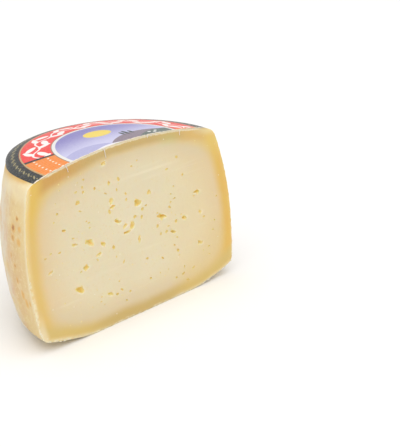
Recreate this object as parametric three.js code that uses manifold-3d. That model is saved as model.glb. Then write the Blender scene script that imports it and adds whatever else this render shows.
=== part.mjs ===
// Half of a small wheel of semi-cured sheep cheese, standing on its underside with the cut face in front,
// and the half of the paper label that was cut together with it.
// Millimetres, +Z up. The cut face looks along -Y and the origin is under the middle of the piece.

import * as THREE from 'three';
import { mergeVertices } from 'three/addons/utils/BufferGeometryUtils.js';
import Module from 'manifold-3d';

const wasm = await Module();
wasm.setup();

// The wheel. Heights are measured from mid height of its side.
const WHEEL_RADIUS = 62;
const DEPTH_RATIO = 0.98;       // depth of the half as a share of its radius
const SIDE_HALF_HEIGHT = 37.4;  // mid height to the upper or lower rim
const TOP_DOME = 7.0;           // rise of the top from its rim to its middle
const BOTTOM_DOME = 8.9;        // the same on the underside, before it is pressed flat
const PRESSED_FLAT = 2.6;       // how much of the lower dome the weight has pressed flat
const SIDE_BULGE = 4.0;         // mid height stands out this far beyond the rims
const SIDE_TAPER = 2.7;         // the lower rim is this much wider than mid height, the upper one narrower
const LEAN = 0.122;             // the wheel sagged sideways by this share of its height, upper part to -X
const UPPER_SHARPNESS = 24;     // power of the superellipse that rounds the upper rim
const LOWER_SHARPNESS = 32;     // the same for the lower rim

// The soft place of the upper rim, behind the left end of the cut: its direction and half width in radians,
// how far the rim is drawn in there, and the power of the height by which that fades down the side
const SOFT_SHOULDER = { at: 2.62, spread: 0.35, inward: 2.0, fade: 1.5 };

// The shallow dents and swells of the side: how many there are round the wheel, how they turn with height
// in radians per millimetre, where they start in radians, and how far they rise
const RIND_SWELLS = [
  { lobes: 3, twist: 0.06, start: 0.8, rise: 0.25 },
  { lobes: 8, twist: -0.11, start: 2.1, rise: 0.12 },
];
const SWELL_FADE = 4;           // power of the height by which they fade towards the rims

// Fineness of the wheel's mesh
const SECTORS = 72;             // facets round the whole wheel
const RING_STEPS = 9;           // rings from the middle of a side or dome to the rim
const RIM_CROWDING = 1.9;       // how closely the rings crowd together towards the rim

// The label
const LABEL_RADIUS = 51.1;
const LABEL_CENTRE = { across: 0.4, behindCut: 1.9 };
const LABEL_THICKNESS = 0.4;
const LABEL_GAP = 0.3;          // clearance between the paper and the rind
const LABEL_RAYS = 40;
const LABEL_RINGS = 10;
const LABEL_CROWDING = 1.6;     // how closely the label's rings crowd together towards its edge

// How often the search for the height of the top is repeated
const HEIGHT_PASSES = 6;
const HEIGHT_HALVINGS = 30;

// The eyes, small holes that the knife has opened, each placed where it lies:
// across from the middle, height above the underside, width, height of the eye, slant in degrees.
const MAIN_EYES = [
  [-36.0, 25.1, 5.2, 3.2, -32],
  [-29.5, 46.4, 4.4, 2.8, -38],
  [-0.5, 57.1, 4.4, 2.8, -45],
  [14.3, 45.9, 6.0, 2.2, -14],
  [-4.5, 46.6, 2.4, 4.2, -15],
  [-7.4, 44.4, 4.0, 1.5, 0],
  [-15.0, 58.9, 3.4, 1.6, 8],
  [-17.4, 57.4, 1.8, 2.4, 25],
  [-16.3, 62.3, 2.2, 2.8, -20],
  [-32.0, 34.9, 3.6, 2.1, -5],
  [-22.0, 43.3, 2.9, 2.1, -35],
  [-12.7, 51.3, 4.2, 1.7, -30],
  [37.5, 51.9, 4.1, 1.6, -10],
  [29.4, 40.7, 3.4, 1.9, -5],
  [-35.2, 66.8, 2.3, 2.2, 0],
  [6.7, 60.2, 2.8, 1.9, 12],
  [-20.6, 81.2, 2.5, 1.7, 10],
  [40.1, 24.5, 3.6, 1.6, -33],
  [22.0, 35.6, 3.2, 1.6, -28],
  [40.0, 40.6, 2.8, 1.6, -20],
  [-18.4, 16.9, 2.9, 1.6, -20],
  [-24.3, 38.8, 2.6, 1.5, 0],
  [-15.6, 39.6, 1.8, 2.4, 20],
  [11.8, 41.6, 1.8, 2.3, 0],
  [-8.2, 48.0, 2.8, 1.8, 15],
  [2.3, 53.0, 2.1, 1.6, 20],
  [-38.0, 47.8, 3.0, 1.4, -8],
  [0.0, 38.8, 1.6, 3.0, 10],
  [25.0, 24.9, 2.2, 1.6, -35],
  [35.5, 12.0, 2.6, 1.9, 25],
];
const SMALL_EYES = [
  [-25.4, 70.8, 1.3, 1.6, 20],
  [-31.9, 70.8, 1.3, 1.5, 0],
  [-32.3, 73.2, 1.0, 1.4, 0],
  [-36.0, 71.9, 1.7, 1.1, 20],
  [-31.6, 76.7, 1.5, 1.1, -30],
  [-17.2, 71.0, 1.5, 2.2, 0],
  [-11.7, 71.6, 1.4, 2.4, 25],
  [-19.4, 66.8, 2.2, 1.0, -40],
  [-12.9, 66.7, 1.2, 1.8, 10],
  [-3.8, 75.5, 1.5, 0.9, -5],
  [-46.6, 64.9, 1.4, 1.2, -30],
  [-48.6, 61.5, 1.0, 1.0, 0],
  [-34.2, 62.6, 2.4, 1.0, -38],
  [-7.6, 63.4, 1.7, 1.2, -45],
  [-7.3, 60.5, 1.1, 1.7, 0],
  [-43.5, 56.3, 2.1, 1.5, -15],
  [-30.8, 56.8, 1.0, 0.9, 0],
  [-29.4, 55.8, 1.4, 0.9, 5],
  [-29.1, 53.3, 1.2, 0.8, -10],
  [-38.5, 51.0, 1.6, 0.9, -10],
  [-51.1, 47.7, 1.5, 0.9, 20],
  [-54.1, 46.3, 1.6, 1.0, -15],
  [-46.4, 46.7, 1.8, 1.1, 5],
  [-2.3, 50.6, 2.2, 1.6, 0],
  [24.3, 72.8, 1.8, 1.6, -30],
  [18.0, 68.4, 2.0, 1.1, 10],
  [28.3, 62.9, 1.4, 1.3, 0],
  [22.2, 58.8, 1.3, 1.0, 0],
  [20.4, 55.4, 1.6, 0.9, -25],
  [22.8, 52.6, 1.8, 0.9, 10],
  [20.4, 51.4, 1.2, 1.1, 0],
  [19.7, 48.9, 2.1, 1.3, -45],
  [4.6, 54.3, 1.5, 1.1, 10],
  [1.7, 49.3, 1.6, 2.1, 0],
  [11.7, 48.3, 1.2, 1.0, 0],
  [35.8, 50.1, 1.5, 0.8, -40],
  [51.3, 45.7, 1.2, 1.1, 0],
  [27.2, 43.0, 1.3, 0.9, 0],
  [-51.8, 39.0, 2.6, 1.1, 18],
  [-35.1, 33.8, 1.4, 0.9, 10],
  [-25.2, 36.4, 1.9, 0.9, -45],
  [-14.1, 34.4, 1.0, 1.4, 30],
  [-9.7, 30.5, 2.0, 0.9, 55],
  [-12.9, 21.5, 1.3, 0.9, -45],
  [-11.5, 16.7, 2.0, 1.1, -45],
  [-14.3, 15.4, 1.8, 1.4, 0],
  [-6.3, 14.1, 1.4, 1.2, 0],
  [-8.7, 10.2, 1.5, 0.8, -40],
  [-23.6, 17.2, 1.1, 0.9, 0],
  [-24.0, 14.9, 1.3, 0.8, 0],
  [-22.1, 12.9, 1.2, 0.7, 0],
  [4.8, 27.2, 1.9, 1.3, 0],
  [14.8, 24.1, 2.1, 1.2, -35],
  [22.7, 28.5, 1.9, 0.9, -40],
  [24.4, 32.1, 1.7, 0.9, -25],
  [18.9, 39.4, 1.6, 1.1, 0],
  [23.9, 40.6, 1.9, 1.9, 0],
  [17.5, 37.1, 1.9, 1.5, 0],
  [13.8, 37.0, 1.1, 2.1, 0],
  [42.6, 37.3, 1.9, 1.4, 0],
  [50.1, 33.3, 1.3, 0.9, -40],
  [49.1, 28.5, 1.7, 0.8, -20],
  [46.3, 20.2, 1.5, 1.2, -20],
  [46.7, 15.9, 1.4, 0.9, 0],
  [25.9, 22.2, 1.3, 0.9, 0],
  [6.8, 16.2, 1.7, 1.1, -30],
  [13.1, 16.9, 0.9, 1.1, 0],
  [18.4, 16.9, 1.1, 0.9, 0],
  [29.2, 14.9, 1.0, 1.6, 0],
  [28.5, 11.4, 2.1, 1.5, 0],
  [24.0, 10.7, 1.4, 1.2, 0],
  [31.6, 6.9, 2.2, 1.0, -25],
];
const EYE_DEPTH = 0.5;          // depth of an eye as a share of its mean width
const EYE_FORWARD = 0.15;       // how far its middle lies in front of the face, as a share of its depth
const EYE_UNEVENNESS = 0.22;    // how far an eye's wall strays from an ellipsoid
const BIG_EYE = 2.6;            // eyes wider than this get a finer mesh
const EYE_SEED = 20;

const MERGE_DISTANCE = 1e-4;    // points closer than this are one

const CHEESE_COLOUR = 0xe4d3a8;
const LABEL_COLOUR = 0x6b5f62;

// Repeatable random numbers from 0 to 1, by a linear congruential rule
const RANDOM_FACTOR = 1664525;
const RANDOM_STEP = 1013904223;
const RANDOM_RANGE = 2 ** 32;

function randomSource(seed) {
  let state = seed;
  return () => {
    state = (state * RANDOM_FACTOR + RANDOM_STEP) % RANDOM_RANGE;
    return state / RANDOM_RANGE;
  };
}

// How far the upper rim is drawn in at a turn
function drawnIn(turn) {
  const { at, spread, inward } = SOFT_SHOULDER;
  return inward * Math.exp(-(((turn - at) / spread) ** 2));
}

// Radius and height of the wheel's outline at a turn, for a profile angle from -90 (underside) to 90 degrees
// (top)
function outline(angle, turn) {
  const c = Math.cos(angle);
  const s = Math.sin(angle);
  const sharpness = s > 0 ? UPPER_SHARPNESS : LOWER_SHARPNESS;
  const size = (Math.abs(c) ** sharpness + Math.abs(s) ** sharpness) ** (-1 / sharpness);
  const u = size * c;
  const v = size * s;
  const soft = drawnIn(turn) * Math.max(0, v) ** SOFT_SHOULDER.fade;
  const radius = u * (WHEEL_RADIUS - SIDE_TAPER * v - SIDE_BULGE * v * v - soft);
  const dome = v > 0 ? TOP_DOME : -BOTTOM_DOME;
  const height = SIDE_HALF_HEIGHT * v + dome * (1 - u * u) * Math.abs(v);
  return { radius, height: Math.max(height, PRESSED_FLAT - BOTTOM_DOME - SIDE_HALF_HEIGHT) };
}

// Shallow swells of the side, which fade out towards the top and the underside
function rindSwell(turn, height) {
  const fade = Math.max(0, 1 - (height / SIDE_HALF_HEIGHT) ** SWELL_FADE);
  let swell = 0;
  for (const { lobes, twist, start, rise } of RIND_SWELLS) {
    swell += rise * Math.sin(lobes * turn + twist * height + start);
  }
  return fade * swell;
}

function wheelPoint(profileAngle, turn) {
  const { radius, height } = outline(profileAngle, turn);
  const reach = radius + (radius > 0 ? rindSwell(turn, height) : 0);
  return [reach * Math.cos(turn) - LEAN * height, DEPTH_RATIO * reach * Math.sin(turn), height];
}

// Profile angles that crowd together where the outline turns at the rims, with one at the edge of the
// pressed flat
function profileAngles() {
  const quarter = Math.PI / 4;
  const flatEdge = -Math.atan(1 / Math.sqrt(PRESSED_FLAT / BOTTOM_DOME));
  const towardsRim = [];
  for (let i = 0; i <= 2 * RING_STEPS; i += 1) {
    const side = i / RING_STEPS - 1;
    towardsRim.push(quarter * (1 + Math.sign(side) * Math.abs(side) ** RIM_CROWDING));
  }
  const lower = towardsRim.slice(1).reverse().map((angle) => -angle);
  return [flatEdge, ...lower, ...towardsRim].sort((a, b) => a - b);
}

function geometryFrom(points, triangles) {
  const geometry = new THREE.BufferGeometry();
  geometry.setAttribute('position', new THREE.Float32BufferAttribute(points.flat(), 3));
  geometry.setIndex(triangles.flat());
  return geometry;
}

// The whole wheel: rings round the axis between a point under it and a point on top.
// No ring point lies on the plane of the cut, which passes through the middle of the facets.
function wheelGeometry() {
  const angles = profileAngles().slice(1, -1);
  const points = [wheelPoint(-Math.PI / 2, 0)];
  for (const angle of angles) {
    for (let k = 0; k < SECTORS; k += 1) {
      points.push(wheelPoint(angle, ((k + 0.5) * 2 * Math.PI) / SECTORS));
    }
  }
  points.push(wheelPoint(Math.PI / 2, 0));
  const last = points.length - 1;
  const triangles = [];
  for (let k = 0; k < SECTORS; k += 1) {
    const next = (k + 1) % SECTORS;
    triangles.push([0, 1 + next, 1 + k]);
    for (let ring = 0; ring < angles.length - 1; ring += 1) {
      const low = 1 + ring * SECTORS;
      const high = low + SECTORS;
      triangles.push([low + k, low + next, high + next], [low + k, high + next, high + k]);
    }
    triangles.push([last, last - SECTORS + k, last - SECTORS + next]);
  }
  return geometryFrom(points, triangles);
}

function solidFrom(geometry) {
  const bare = geometry.clone();
  bare.deleteAttribute('normal');
  bare.deleteAttribute('uv');
  const merged = mergeVertices(bare, MERGE_DISTANCE);
  return new wasm.Manifold(new wasm.Mesh({
    numProp: 3,
    vertProperties: new Float32Array(merged.attributes.position.array),
    triVerts: new Uint32Array(merged.index.array),
  }));
}

function geometryOf(solid) {
  const mesh = solid.getMesh();
  const geometry = new THREE.BufferGeometry();
  geometry.setAttribute('position', new THREE.Float32BufferAttribute(mesh.vertProperties, 3));
  geometry.setIndex(new THREE.Uint32BufferAttribute(mesh.triVerts, 1));
  return geometry;
}

// A block in front of the plane of the cut, which takes the other half away
function knifeSolid() {
  const side = 4 * WHEEL_RADIUS;
  const block = new THREE.BoxGeometry(side, side, side);
  block.translate(0, -side / 2, 0);
  return solidFrom(block);
}

const UNDERSIDE = PRESSED_FLAT - BOTTOM_DOME - SIDE_HALF_HEIGHT;
const wheelBox = new THREE.Box3().setFromBufferAttribute(wheelGeometry().attributes.position);
const MIDDLE_ACROSS = (wheelBox.min.x + wheelBox.max.x) / 2;

// An uneven hollow that opens on the cut face. Its middle lies a little in front of the face.
function eyeSolid([across, up, wide, tall, slant], random) {
  const fineness = Math.max(wide, tall) > BIG_EYE ? 1 : 0;
  const ball = new THREE.IcosahedronGeometry(1, fineness);
  ball.deleteAttribute('normal');
  ball.deleteAttribute('uv');
  const uneven = mergeVertices(ball, MERGE_DISTANCE);
  const position = uneven.attributes.position;
  for (let i = 0; i < position.count; i += 1) {
    const stretch = 1 + EYE_UNEVENNESS * (2 * random() - 1);
    position.setXYZ(i, stretch * position.getX(i), stretch * position.getY(i), stretch * position.getZ(i));
  }
  const depth = EYE_DEPTH * (wide + tall) / 2;
  uneven.scale(wide / 2, depth, tall / 2);
  uneven.rotateY(-THREE.MathUtils.degToRad(slant));
  uneven.translate(across + MIDDLE_ACROSS, -EYE_FORWARD * depth, up + UNDERSIDE);
  return solidFrom(uneven);
}

function cheeseGeometry() {
  const random = randomSource(EYE_SEED);
  let half = solidFrom(wheelGeometry()).subtract(knifeSolid());
  for (const eye of [...MAIN_EYES, ...SMALL_EYES]) {
    half = half.subtract(eyeSolid(eye, random));
  }
  return geometryOf(half);
}

// Height of the top above a point, found by halving the range of profile angles
function topHeight(x, y) {
  let height = SIDE_HALF_HEIGHT;
  for (let pass = 0; pass < HEIGHT_PASSES; pass += 1) {
    const reach = Math.hypot(x + LEAN * height, y / DEPTH_RATIO);
    const turn = Math.atan2(y / DEPTH_RATIO, x + LEAN * height);
    let outer = Math.PI / 4;
    let inner = Math.PI / 2;
    for (let step = 0; step < HEIGHT_HALVINGS; step += 1) {
      const middle = (outer + inner) / 2;
      if (outline(middle, turn).radius > reach) {
        outer = middle;
      } else {
        inner = middle;
      }
    }
    height = outline(inner, turn).height;
  }
  return height;
}

// Paper that follows the top, as rays from the middle of its cut edge out to its round edge.
// Its two faces are split into triangles alike.
function labelGeometry() {
  const { across, behindCut } = LABEL_CENTRE;
  const middleX = across - LEAN * topHeight(0, 0);
  const faces = [LABEL_GAP, LABEL_GAP + LABEL_THICKNESS].map((lift) => {
    const points = [[middleX, 0, topHeight(middleX, 0) + lift]];
    for (let ray = 0; ray <= LABEL_RAYS; ray += 1) {
      const turn = (Math.PI * ray) / LABEL_RAYS;
      const reach = behindCut * Math.sin(turn)
        + Math.sqrt(LABEL_RADIUS ** 2 - (behindCut * Math.cos(turn)) ** 2);
      for (let ring = 1; ring <= LABEL_RINGS; ring += 1) {
        const far = reach * (1 - (1 - ring / LABEL_RINGS) ** LABEL_CROWDING);
        const x = middleX + far * Math.cos(turn);
        const y = Math.max(0, far * Math.sin(turn));
        points.push([x, y, topHeight(x, y) + lift]);
      }
    }
    return points;
  });
  const count = faces[0].length;
  const index = (ray, ring) => (ring === 0 ? 0 : 1 + ray * LABEL_RINGS + ring - 1);
  const lower = [];
  for (let ray = 0; ray < LABEL_RAYS; ray += 1) {
    lower.push([0, index(ray + 1, 1), index(ray, 1)]);
    for (let ring = 1; ring < LABEL_RINGS; ring += 1) {
      const [a, b] = [index(ray, ring), index(ray, ring + 1)];
      const [c, d] = [index(ray + 1, ring), index(ray + 1, ring + 1)];
      lower.push([a, c, d], [a, d, b]);
    }
  }
  const upper = lower.map(([a, b, c]) => [a + count, c + count, b + count]);
  const edge = [];
  for (let ring = 0; ring <= LABEL_RINGS; ring += 1) {
    edge.push(index(0, ring));
  }
  for (let ray = 1; ray <= LABEL_RAYS; ray += 1) {
    edge.push(index(ray, LABEL_RINGS));
  }
  for (let ring = LABEL_RINGS - 1; ring > 0; ring -= 1) {
    edge.push(index(LABEL_RAYS, ring));
  }
  const rim = edge.flatMap((a, i) => {
    const b = edge[(i + 1) % edge.length];
    return [[a, b, b + count], [a, b + count, a + count]];
  });
  return geometryFrom([...faces[0], ...faces[1]], [...lower, ...upper, ...rim]);
}

const cheese = new THREE.Mesh(
  cheeseGeometry(),
  new THREE.MeshStandardMaterial({ color: CHEESE_COLOUR, roughness: 0.55, metalness: 0 }),
);
cheese.name = 'cheese';

const paper = { color: LABEL_COLOUR, roughness: 0.5, metalness: 0, side: THREE.DoubleSide };
const label = new THREE.Mesh(labelGeometry(), new THREE.MeshStandardMaterial(paper));
label.name = 'label';

// The piece stands on the origin's plane, with the origin at the middle of its outer sizes.
const halfWheel = new THREE.Group();
halfWheel.add(cheese, label);
const box = new THREE.Box3().setFromObject(halfWheel);
halfWheel.position.set(-(box.min.x + box.max.x) / 2, -(box.min.y + box.max.y) / 2, -box.min.z);

export default halfWheel;
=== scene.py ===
# Half of a small wheel of semi-cured sheep cheese with its cut paper label, on a pale floor in soft light.
# Lengths are in millimetres until a mesh is made; MM turns them into metres.
import math

import bmesh
import bpy
import numpy as np
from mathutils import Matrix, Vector, noise


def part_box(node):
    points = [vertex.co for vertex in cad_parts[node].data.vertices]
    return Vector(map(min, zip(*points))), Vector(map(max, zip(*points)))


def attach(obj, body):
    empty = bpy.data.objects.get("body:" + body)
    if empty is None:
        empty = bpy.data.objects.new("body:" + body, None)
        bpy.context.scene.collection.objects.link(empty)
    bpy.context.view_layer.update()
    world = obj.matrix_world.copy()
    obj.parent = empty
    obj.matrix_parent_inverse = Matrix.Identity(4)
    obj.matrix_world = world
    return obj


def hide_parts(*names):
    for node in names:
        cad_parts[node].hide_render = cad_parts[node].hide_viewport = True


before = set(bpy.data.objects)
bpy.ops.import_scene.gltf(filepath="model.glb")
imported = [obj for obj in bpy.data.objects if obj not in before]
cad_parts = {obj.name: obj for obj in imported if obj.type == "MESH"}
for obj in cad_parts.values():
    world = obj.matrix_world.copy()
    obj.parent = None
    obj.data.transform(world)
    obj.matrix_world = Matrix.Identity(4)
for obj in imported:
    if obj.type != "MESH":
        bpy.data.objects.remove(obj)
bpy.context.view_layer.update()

MM = 0.001

# The camera, seen as a pinhole camera whose frame is 447 pixels tall
CAMERA_PLACE = (-309.4, -375.4, 244.1)
CAMERA_TURN = math.radians(-45.36)
CAMERA_TILT = math.radians(23.13)
FOCAL_LENGTH_PX = 1093.0
FRAME_HEIGHT_PX = 447
SENSOR = 36.0

# The wheel's form, as in its solid. Heights are measured from mid height of the side.
WHEEL_RADIUS = 62.0
DEPTH_RATIO = 0.98
SIDE_HALF_HEIGHT = 37.4
TOP_DOME = 7.0
BOTTOM_DOME = 8.9
PRESSED_FLAT = 2.6
SIDE_BULGE = 4.0
SIDE_TAPER = 2.7
LEAN = 0.122
UPPER_SHARPNESS = 24
LOWER_SHARPNESS = 32
SOFT_SHOULDER = {"at": 2.62, "spread": 0.35, "inward": 2.0, "fade": 1.5}
UNDERSIDE = PRESSED_FLAT - BOTTOM_DOME - SIDE_HALF_HEIGHT
RIND_SWELLS = [
    {"lobes": 3, "twist": 0.06, "start": 0.8, "rise": 0.25},
    {"lobes": 8, "twist": -0.11, "start": 2.1, "rise": 0.12},
]
SWELL_FADE = 4

# Fineness of the cheese's mesh and of the wheel's outline where it is measured
FACE_COLUMNS = 240
FACE_ROWS = 168
RIND_TURNS = 180
OUTLINE_SAMPLES = 401
TOP_SAMPLES = 400
TOP_PASSES = 8

FACE_SETBACK = 0.15     # the cut face lies this far behind the solid's, to leave room for its relief
EDGE_ROUNDING = 0.3     # how far the knife's edge is rounded over
SHARP_ANGLE = 42        # edges with a sharper turn than this aren't shaded smooth
LIP_HEIGHT = 0.14       # the curd stands up a little at the lower right of each larger eye
LIP_WIDTH = 0.7

# Relief of the face and dents of the rind: size of the features, depth, the noise's
# seed and, for the dents, the scale of the places along the axes
FACE_RELIEF = [(9, 0.06, 1), (1.7, 0.04, 2)]
CRUMBLING = {"size": 1.6, "share": 0.8, "seed": 10}
RIND_DENTS = [(9, 0.2, 3, (1, 1, 1)), (2.5, 0.12, 4, (1, 1, 0.4))]
DENT_MIDDLE = 0.1
DENT_FADE = {"rim": 6, "cut": 4, "cut_margin": 1.0}

# The cheese's materials in the order of their slots
CUT_SLOT, RIND_SLOT, EYE_SLOT, SMALL_EYE_SLOT = range(4)

# How the dried band widens in the corners of the face
CORNER_BLEND = {"power": 1.6, "least": 0.05, "gain": 1.07}

# The eyes: across from the middle, height above the underside, width, height of the eye, slant in degrees
DEEP_EYES = [
    (-36.0, 25.1, 4.8, 2.8, -34),
    (-29.5, 46.4, 4.4, 2.8, -38),
    (-0.5, 57.1, 4.4, 2.8, -45),
    (14.5, 45.8, 5.8, 2.0, -20),
    (-4.1, 46.8, 2.6, 3.4, -25),
    (-7.2, 44.4, 3.8, 1.3, 5),
    (-15.5, 59.2, 3.4, 1.2, 12),
    (-16.3, 62.3, 2.2, 2.8, -20),
    (-32.0, 34.9, 3.2, 1.9, -10),
    (-21.8, 43.2, 2.8, 1.7, -35),
    (-12.7, 51.3, 4.2, 1.7, -30),
    (37.5, 51.9, 4.1, 1.6, -10),
    (29.4, 40.7, 3.4, 1.9, -5),
    (22.0, 35.6, 3.2, 1.6, -28),
    (-15.6, 39.6, 1.7, 2.4, 20),
    (-35.2, 66.8, 2.3, 2.2, 0),
    (6.7, 60.2, 2.8, 1.9, 12),
    (-20.0, 81.0, 2.8, 1.4, 20),
    (40.1, 24.5, 3.6, 1.6, -33),
    (40.0, 40.6, 2.8, 1.6, -20),
    (-18.4, 16.9, 2.9, 1.6, -20),
    (-24.3, 38.8, 2.6, 1.5, 0),
    (2.3, 53.0, 2.1, 1.6, 20),
    (25.0, 24.9, 2.2, 1.6, -35),
    (-25.4, 70.8, 1.3, 1.6, 20),
    (-31.9, 70.8, 1.3, 1.5, 0),
    (-3.8, 75.5, 1.5, 0.9, -5),
    (-43.5, 56.3, 2.1, 1.5, -15),
    (-38.5, 51.0, 1.6, 0.9, -10),
    (-54.1, 46.3, 1.6, 1.0, -15),
    (-46.4, 46.7, 1.8, 1.1, 5),
    (-2.3, 50.6, 2.2, 1.6, 0),
    (28.3, 62.9, 1.4, 1.3, 0),
    (22.8, 52.6, 1.8, 0.9, 10),
    (19.7, 48.9, 2.1, 1.3, -45),
    (4.6, 54.3, 1.5, 1.1, 10),
    (1.7, 49.3, 1.6, 2.1, 0),
    (11.7, 48.3, 1.2, 1.0, 0),
    (51.3, 45.7, 1.2, 1.1, 0),
    (-51.8, 39.0, 2.6, 1.1, 18),
    (-12.9, 21.5, 1.3, 0.9, -45),
    (-11.5, 16.7, 2.0, 1.1, -45),
    (-14.3, 15.4, 1.8, 1.4, 0),
    (-6.3, 14.1, 1.4, 1.2, 0),
    (-8.7, 10.2, 1.5, 0.8, -40),
    (4.8, 27.2, 1.9, 1.3, 0),
    (14.8, 24.1, 2.1, 1.2, -35),
    (22.7, 28.5, 1.9, 0.9, -40),
    (24.4, 32.1, 1.7, 0.9, -25),
    (50.1, 33.3, 1.3, 0.9, -40),
    (46.3, 20.2, 1.5, 1.2, -20),
    (6.8, 16.2, 1.7, 1.1, -30),
    (28.5, 11.4, 2.1, 1.5, 0),
    (24.0, 10.7, 1.4, 1.2, 0),
    (31.6, 6.9, 2.2, 1.0, -25),
]
SHALLOW_EYES = [
    (-17.4, 57.4, 1.8, 2.4, 25),
    (11.8, 41.6, 1.8, 2.3, 0),
    (-8.2, 48.0, 2.8, 1.8, 15),
    (-38.0, 47.8, 3.0, 1.4, -8),
    (0.0, 38.8, 1.6, 3.0, 10),
    (35.6, 12.3, 2.2, 1.2, 30),
    (-32.3, 73.2, 1.0, 1.4, 0),
    (-31.6, 76.7, 1.5, 1.1, -30),
    (-36.0, 71.9, 1.7, 1.1, 20),
    (-0.5, 77.4, 1.1, 0.9, 40),
    (-17.2, 71.0, 1.5, 2.2, 0),
    (-11.7, 71.6, 1.4, 2.4, 25),
    (-19.4, 66.8, 2.2, 1.0, -40),
    (-12.9, 66.7, 1.2, 1.8, 10),
    (-46.6, 64.9, 1.4, 1.2, -30),
    (-48.6, 61.5, 1.0, 1.0, 0),
    (-34.2, 62.6, 2.0, 0.9, -38),
    (-7.6, 63.4, 1.7, 1.2, -45),
    (-7.3, 60.5, 1.1, 1.7, 0),
    (-30.8, 56.8, 1.0, 0.9, 0),
    (-29.4, 55.8, 1.4, 0.9, 5),
    (-29.1, 53.3, 1.2, 0.8, -10),
    (-51.1, 47.7, 1.5, 0.9, 20),
    (24.3, 72.8, 1.8, 1.6, -30),
    (18.0, 68.4, 2.0, 1.1, 10),
    (22.2, 58.8, 1.3, 1.0, 0),
    (20.4, 55.4, 1.6, 0.9, -25),
    (20.4, 51.4, 1.2, 1.1, 0),
    (35.8, 50.1, 1.5, 0.8, -40),
    (27.2, 43.0, 1.3, 0.9, 0),
    (-35.1, 33.8, 1.4, 0.9, 10),
    (-25.2, 36.4, 1.9, 0.9, -45),
    (-14.1, 34.4, 1.0, 1.4, 30),
    (-9.7, 30.5, 2.0, 0.9, 55),
    (-23.6, 17.2, 1.1, 0.9, 0),
    (-24.0, 14.9, 1.3, 0.8, 0),
    (-22.1, 12.9, 1.2, 0.7, 0),
    (18.9, 39.4, 1.6, 1.1, 0),
    (23.9, 40.6, 1.9, 1.9, 0),
    (17.5, 37.1, 1.9, 1.5, 0),
    (13.8, 37.0, 1.1, 2.1, 0),
    (42.6, 37.3, 1.9, 1.4, 0),
    (49.1, 28.5, 1.7, 0.8, -20),
    (46.7, 15.9, 1.4, 0.9, 0),
    (25.9, 22.2, 1.3, 0.9, 0),
    (13.1, 16.9, 0.9, 1.1, 0),
    (18.4, 16.9, 1.1, 0.9, 0),
    (29.2, 14.9, 1.0, 1.6, 0),
]
BIG_EYE = 2.5           # eyes of this size have lobes and lips, and smaller ones are a deeper gold
FINE_EYE = 2.4          # eyes larger than this are cut with a finer ball
EYE_DEPTH = 0.5
EYE_REACH = 0.55        # half width of the ball that cuts an eye, as a share of the eye's width
LOBE_REACH = 0.46
EYE_FORWARD = 0.15      # how far that ball's middle lies in front of the face, as a share of its depth
EYE_BOWL = 1.5          # how flat the ball is towards the bottom of the eye
EYE_CLEARANCE = {"share": 0.65, "extra": 0.1}
EYE_SEED = 20
TORN_FLATS = 5          # blunt flats of the ball, how blunt they are and how uneven the rest is
TORN_POWER = 9
TORN_NOISE = {"size": 0.55, "rise": 0.28}

# Pinholes, which are scattered over the middle of the face
PINHOLES = 70
PINHOLE_WIDTH = (0.5, 1.1)
PINHOLE_FIELD = {"across": 50, "bottom": 9, "top": 80}
PINHOLE_SPACING = 0.7

# Brown spots of the rind on the left side: distance behind the cut, height, half width, half height
# and brownness
RIND_SPOTS = [
    (11.0, 60.0, 1.2, 1.4, 0.9),
    (11.6, 55.4, 1.1, 1.1, 0.45),
    (6.2, 55.0, 1.1, 1.2, 0.08),
    (7.6, 65.2, 0.7, 0.8, 0.7),
    (5.4, 61.2, 0.8, 0.9, 0.0),
    (10.9, 42.6, 0.5, 0.7, 0.7),
    (10.2, 35.5, 0.6, 1.1, 0.4),
    (14.0, 46.5, 0.5, 1.0, 0.5),
    (7.4, 29.4, 0.9, 1.5, 0.1),
    (5.2, 25.8, 0.7, 1.5, 0.05),
    (2.6, 26.6, 0.4, 0.9, 0.05),
    (0.5, 22.1, 0.3, 0.4, 1.0),
]

# The label
LABEL_RADIUS = 51.1
LABEL_ACROSS = 0.4
LABEL_BEHIND_CUT = 1.9
LABEL_THICKNESS = 0.15
LABEL_LIFT = 0.03
LABEL_OVERHANG = {"at": 2.25, "spread": 0.5, "far": 1.1}     # the paper reaches over the soft shoulder here
LABEL_EDGE_WAVE = 0.12
LABEL_WAVES = [(14, 0.06, 5), (4, 0.03, 6)]
LABEL_CURL = {"height": 0.25, "width": 1.5}
LABEL_RAYS = 200
LABEL_RINGS = 64
PAPER_SHARP_ANGLE = 50

# Shreds of paper that the knife pulled down over the face: start and end across, length, width
SHREDS = [
    (-19.6, -18.2, 4.6, 0.6),
    (-41.0, -39.6, 3.4, 0.5),
    (6.0, 6.4, 1.4, 0.6),
    (8.6, 8.5, 0.8, 0.7),
    (26.0, 26.7, 2.9, 0.6),
]
SHRED_THICKNESS = 0.12
SHRED_STEPS = 9

EDGE_CRUMBS = 260
CRUMB_SHARES = {"left": 0.3, "left_and_bottom": 0.85}
CRUMB_SIZE = (0.16, 0.62)
CRUMB_SEED = 7

FLOOR_HALF_WIDTH = 40000
SKY_STRENGTH = 0.62
SUN = {"direction": (-0.25, -0.3, 1.0), "strength": 1.75, "spread": 70}


def make_camera():
    back = Vector((
        math.sin(CAMERA_TURN) * math.cos(CAMERA_TILT),
        -math.cos(CAMERA_TURN) * math.cos(CAMERA_TILT),
        math.sin(CAMERA_TILT),
    ))
    data = bpy.data.cameras.new("camera")
    data.sensor_width = SENSOR
    data.lens = FOCAL_LENGTH_PX * SENSOR / FRAME_HEIGHT_PX
    data.clip_start = 0.01
    camera = bpy.data.objects.new("camera", data)
    camera.location = Vector(CAMERA_PLACE) * MM
    camera.rotation_euler = back.to_track_quat("Z", "Y").to_euler()
    bpy.context.scene.collection.objects.link(camera)
    bpy.context.scene.camera = camera


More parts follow.
